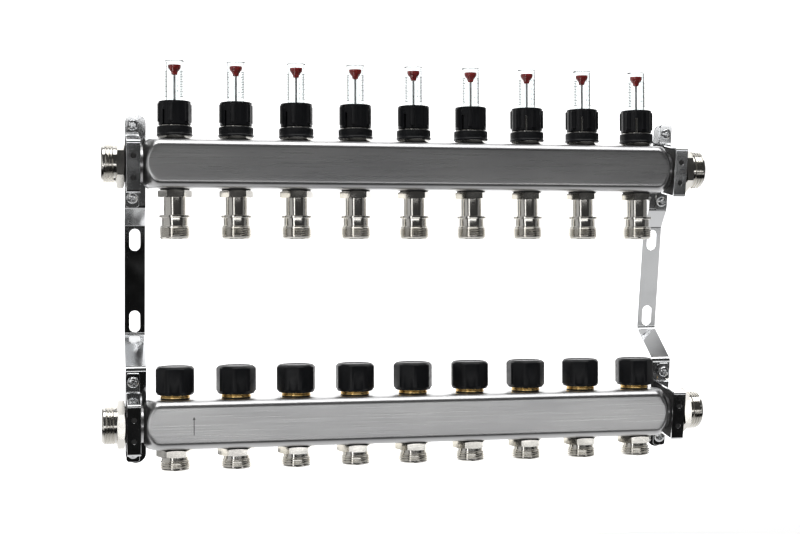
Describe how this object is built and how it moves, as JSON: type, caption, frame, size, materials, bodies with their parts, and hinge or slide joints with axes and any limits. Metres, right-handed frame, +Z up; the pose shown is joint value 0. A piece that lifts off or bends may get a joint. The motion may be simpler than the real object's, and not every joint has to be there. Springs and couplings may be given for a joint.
{
  "type": "underfloor heating manifold",
  "caption": "Underfloor heating manifold: a flow bar with sight-glass flow meters above a return bar with manual valve caps, clamped to two bent wall straps.",
  "frame": {"origin": "on the wall plane, midway between the two straps and midway between their slots", "axes": "+X along the bars towards the right end, +Y into the wall, +Z up"},
  "size_m": [0.518, 0.0842, 0.3348],
  "materials": {
    "plated_strap": "bright plated steel, mirror-like",
    "brushed_bar": "stainless steel, brushed along the bar",
    "nickel": "nickel-plated brass, bright",
    "zinc_screw": "zinc-plated steel",
    "brass": "turned brass, bare",
    "black_plastic": "moulded black plastic, satin",
    "red_plastic": "red plastic, satin",
    "clear_plastic": "clear plastic, polished",
    "rubber": "black rubber",
    "spring_steel": "stainless spring wire"
  },
  "bodies": {
    "wall_frame": {"bracket_left": "plated_strap", "bracket_right": "plated_strap", "flow_clamps": "plated_strap", "return_clamps": "plated_strap", "clamp_liners": "rubber", "clamp_screws": "zinc_screw", "clamp_nuts": "zinc_screw"},
    "flow_bar": {"flow_bar": "brushed_bar", "flow_end_adapters": "nickel", "flow_end_seals": "rubber", "flow_outlets": "nickel", "flow_port_seals": "rubber", "meter_bodies": "nickel", "meter_collars": "black_plastic", "sight_glasses": "clear_plastic", "meter_springs": "spring_steel"},
    "return_bar": {"return_bar": "brushed_bar", "return_end_adapters": "nickel", "return_end_seals": "rubber", "return_outlets": "nickel", "return_port_seals": "rubber", "insert_bodies": "brass", "valve_springs": "spring_steel"},
    "meter_knob_1": {"meter_knob_1": "black_plastic"},
    "float_1": {"float_1": "red_plastic"},
    "cap_1": {"cap_1": "black_plastic"},
    "valve_pin_1": {"valve_pin_1": "brass"},
    "meter_knob_2": {"meter_knob_2": "black_plastic"},
    "float_2": {"float_2": "red_plastic"},
    "cap_2": {"cap_2": "black_plastic"},
    "valve_pin_2": {"valve_pin_2": "brass"},
    "meter_knob_3": {"meter_knob_3": "black_plastic"},
    "float_3": {"float_3": "red_plastic"},
    "cap_3": {"cap_3": "black_plastic"},
    "valve_pin_3": {"valve_pin_3": "brass"},
    "meter_knob_4": {"meter_knob_4": "black_plastic"},
    "float_4": {"float_4": "red_plastic"},
    "cap_4": {"cap_4": "black_plastic"},
    "valve_pin_4": {"valve_pin_4": "brass"},
    "meter_knob_5": {"meter_knob_5": "black_plastic"},
    "float_5": {"float_5": "red_plastic"},
    "cap_5": {"cap_5": "black_plastic"},
    "valve_pin_5": {"valve_pin_5": "brass"},
    "meter_knob_6": {"meter_knob_6": "black_plastic"},
    "float_6": {"float_6": "red_plastic"},
    "cap_6": {"cap_6": "black_plastic"},
    "valve_pin_6": {"valve_pin_6": "brass"},
    "meter_knob_7": {"meter_knob_7": "black_plastic"},
    "float_7": {"float_7": "red_plastic"},
    "cap_7": {"cap_7": "black_plastic"},
    "valve_pin_7": {"valve_pin_7": "brass"},
    "meter_knob_8": {"meter_knob_8": "black_plastic"},
    "float_8": {"float_8": "red_plastic"},
    "cap_8": {"cap_8": "black_plastic"},
    "valve_pin_8": {"valve_pin_8": "brass"},
    "meter_knob_9": {"meter_knob_9": "black_plastic"},
    "float_9": {"float_9": "red_plastic"},
    "cap_9": {"cap_9": "black_plastic"},
    "valve_pin_9": {"valve_pin_9": "brass"}
  },
  "joints": [
    {"name": "flow_bar_turn", "type": "hinge", "parent": "wall_frame", "child": "flow_bar", "pos_m": [0, -0.032, 0.102], "axis": [1, 0, 0], "range_deg": [-5, 15]},
    {"name": "return_bar_turn", "type": "hinge", "parent": "wall_frame", "child": "return_bar", "pos_m": [0, -0.062, -0.108], "axis": [1, 0, 0], "range_deg": [-5, 15]},
    {"name": "meter_knob_turn_1", "type": "hinge", "parent": "flow_bar", "child": "meter_knob_1", "pos_m": [-0.2, -0.02471, 0.14336], "axis": [0, 0.1736, 0.9848], "range_deg": [-900, 0]},
    {"name": "float_slide_1", "type": "slide", "parent": "flow_bar", "child": "float_1", "axis": [0, 0.1736, 0.9848], "range_m": [-0.022, 0], "stiffness_N_per_m": 20, "springref_m": 0.008},
    {"name": "cap_turn_1", "type": "hinge", "parent": "valve_pin_1", "child": "cap_1", "pos_m": [-0.2, -0.05592, -0.07353], "axis": [0, 0.1736, 0.9848], "range_deg": [-600, 0]},
    {"name": "valve_pin_slide_1", "type": "slide", "parent": "return_bar", "child": "valve_pin_1", "axis": [0, 0.1736, 0.9848], "range_m": [-0.0025, 0]},
    {"name": "meter_knob_turn_2", "type": "hinge", "parent": "flow_bar", "child": "meter_knob_2", "pos_m": [-0.15, -0.02471, 0.14336], "axis": [0, 0.1736, 0.9848], "range_deg": [-900, 0]},
    {"name": "float_slide_2", "type": "slide", "parent": "flow_bar", "child": "float_2", "axis": [0, 0.1736, 0.9848], "range_m": [-0.022, 0], "stiffness_N_per_m": 20, "springref_m": 0.008},
    {"name": "cap_turn_2", "type": "hinge", "parent": "valve_pin_2", "child": "cap_2", "pos_m": [-0.15, -0.05592, -0.07353], "axis": [0, 0.1736, 0.9848], "range_deg": [-600, 0]},
    {"name": "valve_pin_slide_2", "type": "slide", "parent": "return_bar", "child": "valve_pin_2", "axis": [0, 0.1736, 0.9848], "range_m": [-0.0025, 0]},
    {"name": "meter_knob_turn_3", "type": "hinge", "parent": "flow_bar", "child": "meter_knob_3", "pos_m": [-0.1, -0.02471, 0.14336], "axis": [0, 0.1736, 0.9848], "range_deg": [-900, 0]},
    {"name": "float_slide_3", "type": "slide", "parent": "flow_bar", "child": "float_3", "axis": [0, 0.1736, 0.9848], "range_m": [-0.022, 0], "stiffness_N_per_m": 20, "springref_m": 0.008},
    {"name": "cap_turn_3", "type": "hinge", "parent": "valve_pin_3", "child": "cap_3", "pos_m": [-0.1, -0.05592, -0.07353], "axis": [0, 0.1736, 0.9848], "range_deg": [-600, 0]},
    {"name": "valve_pin_slide_3", "type": "slide", "parent": "return_bar", "child": "valve_pin_3", "axis": [0, 0.1736, 0.9848], "range_m": [-0.0025, 0]},
    {"name": "meter_knob_turn_4", "type": "hinge", "parent": "flow_bar", "child": "meter_knob_4", "pos_m": [-0.05, -0.02471, 0.14336], "axis": [0, 0.1736, 0.9848], "range_deg": [-900, 0]},
    {"name": "float_slide_4", "type": "slide", "parent": "flow_bar", "child": "float_4", "axis": [0, 0.1736, 0.9848], "range_m": [-0.022, 0], "stiffness_N_per_m": 20, "springref_m": 0.008},
    {"name": "cap_turn_4", "type": "hinge", "parent": "valve_pin_4", "child": "cap_4", "pos_m": [-0.05, -0.05592, -0.07353], "axis": [0, 0.1736, 0.9848], "range_deg": [-600, 0]},
    {"name": "valve_pin_slide_4", "type": "slide", "parent": "return_bar", "child": "valve_pin_4", "axis": [0, 0.1736, 0.9848], "range_m": [-0.0025, 0]},
    {"name": "meter_knob_turn_5", "type": "hinge", "parent": "flow_bar", "child": "meter_knob_5", "pos_m": [0, -0.02471, 0.14336], "axis": [0, 0.1736, 0.9848], "range_deg": [-900, 0]},
    {"name": "float_slide_5", "type": "slide", "parent": "flow_bar", "child": "float_5", "axis": [0, 0.1736, 0.9848], "range_m": [-0.022, 0], "stiffness_N_per_m": 20, "springref_m": 0.008},
    {"name": "cap_turn_5", "type": "hinge", "parent": "valve_pin_5", "child": "cap_5", "pos_m": [0, -0.05592, -0.07353], "axis": [0, 0.1736, 0.9848], "range_deg": [-600, 0]},
    {"name": "valve_pin_slide_5", "type": "slide", "parent": "return_bar", "child": "valve_pin_5", "axis": [0, 0.1736, 0.9848], "range_m": [-0.0025, 0]},
    {"name": "meter_knob_turn_6", "type": "hinge", "parent": "flow_bar", "child": "meter_knob_6", "pos_m": [0.05, -0.02471, 0.14336], "axis": [0, 0.1736, 0.9848], "range_deg": [-900, 0]},
    {"name": "float_slide_6", "type": "slide", "parent": "flow_bar", "child": "float_6", "axis": [0, 0.1736, 0.9848], "range_m": [-0.022, 0], "stiffness_N_per_m": 20, "springref_m": 0.008},
    {"name": "cap_turn_6", "type": "hinge", "parent": "valve_pin_6", "child": "cap_6", "pos_m": [0.05, -0.05592, -0.07353], "axis": [0, 0.1736, 0.9848], "range_deg": [-600, 0]},
    {"name": "valve_pin_slide_6", "type": "slide", "parent": "return_bar", "child": "valve_pin_6", "axis": [0, 0.1736, 0.9848], "range_m": [-0.0025, 0]},
    {"name": "meter_knob_turn_7", "type": "hinge", "parent": "flow_bar", "child": "meter_knob_7", "pos_m": [0.1, -0.02471, 0.14336], "axis": [0, 0.1736, 0.9848], "range_deg": [-900, 0]},
    {"name": "float_slide_7", "type": "slide", "parent": "flow_bar", "child": "float_7", "axis": [0, 0.1736, 0.9848], "range_m": [-0.022, 0], "stiffness_N_per_m": 20, "springref_m": 0.008},
    {"name": "cap_turn_7", "type": "hinge", "parent": "valve_pin_7", "child": "cap_7", "pos_m": [0.1, -0.05592, -0.07353], "axis": [0, 0.1736, 0.9848], "range_deg": [-600, 0]},
    {"name": "valve_pin_slide_7", "type": "slide", "parent": "return_bar", "child": "valve_pin_7", "axis": [0, 0.1736, 0.9848], "range_m": [-0.0025, 0]},
    {"name": "meter_knob_turn_8", "type": "hinge", "parent": "flow_bar", "child": "meter_knob_8", "pos_m": [0.15, -0.02471, 0.14336], "axis": [0, 0.1736, 0.9848], "range_deg": [-900, 0]},
    {"name": "float_slide_8", "type": "slide", "parent": "flow_bar", "child": "float_8", "axis": [0, 0.1736, 0.9848], "range_m": [-0.022, 0], "stiffness_N_per_m": 20, "springref_m": 0.008},
    {"name": "cap_turn_8", "type": "hinge", "parent": "valve_pin_8", "child": "cap_8", "pos_m": [0.15, -0.05592, -0.07353], "axis": [0, 0.1736, 0.9848], "range_deg": [-600, 0]},
    {"name": "valve_pin_slide_8", "type": "slide", "parent": "return_bar", "child": "valve_pin_8", "axis": [0, 0.1736, 0.9848], "range_m": [-0.0025, 0]},
    {"name": "meter_knob_turn_9", "type": "hinge", "parent": "flow_bar", "child": "meter_knob_9", "pos_m": [0.2, -0.02471, 0.14336], "axis": [0, 0.1736, 0.9848], "range_deg": [-900, 0]},
    {"name": "float_slide_9", "type": "slide", "parent": "flow_bar", "child": "float_9", "axis": [0, 0.1736, 0.9848], "range_m": [-0.022, 0], "stiffness_N_per_m": 20, "springref_m": 0.008},
    {"name": "cap_turn_9", "type": "hinge", "parent": "valve_pin_9", "child": "cap_9", "pos_m": [0.2, -0.05592, -0.07353], "axis": [0, 0.1736, 0.9848], "range_deg": [-600, 0]},
    {"name": "valve_pin_slide_9", "type": "slide", "parent": "return_bar", "child": "valve_pin_9", "axis": [0, 0.1736, 0.9848], "range_m": [-0.0025, 0]}
  ],
  "couplings": [
    {"joint": "cap_turn_1", "follows": "valve_pin_slide_1", "rad_per_m": 4188.8},
    {"joint": "cap_turn_2", "follows": "valve_pin_slide_2", "rad_per_m": 4188.8},
    {"joint": "cap_turn_3", "follows": "valve_pin_slide_3", "rad_per_m": 4188.8},
    {"joint": "cap_turn_4", "follows": "valve_pin_slide_4", "rad_per_m": 4188.8},
    {"joint": "cap_turn_5", "follows": "valve_pin_slide_5", "rad_per_m": 4188.8},
    {"joint": "cap_turn_6", "follows": "valve_pin_slide_6", "rad_per_m": 4188.8},
    {"joint": "cap_turn_7", "follows": "valve_pin_slide_7", "rad_per_m": 4188.8},
    {"joint": "cap_turn_8", "follows": "valve_pin_slide_8", "rad_per_m": 4188.8},
    {"joint": "cap_turn_9", "follows": "valve_pin_slide_9", "rad_per_m": 4188.8}
  ]
}
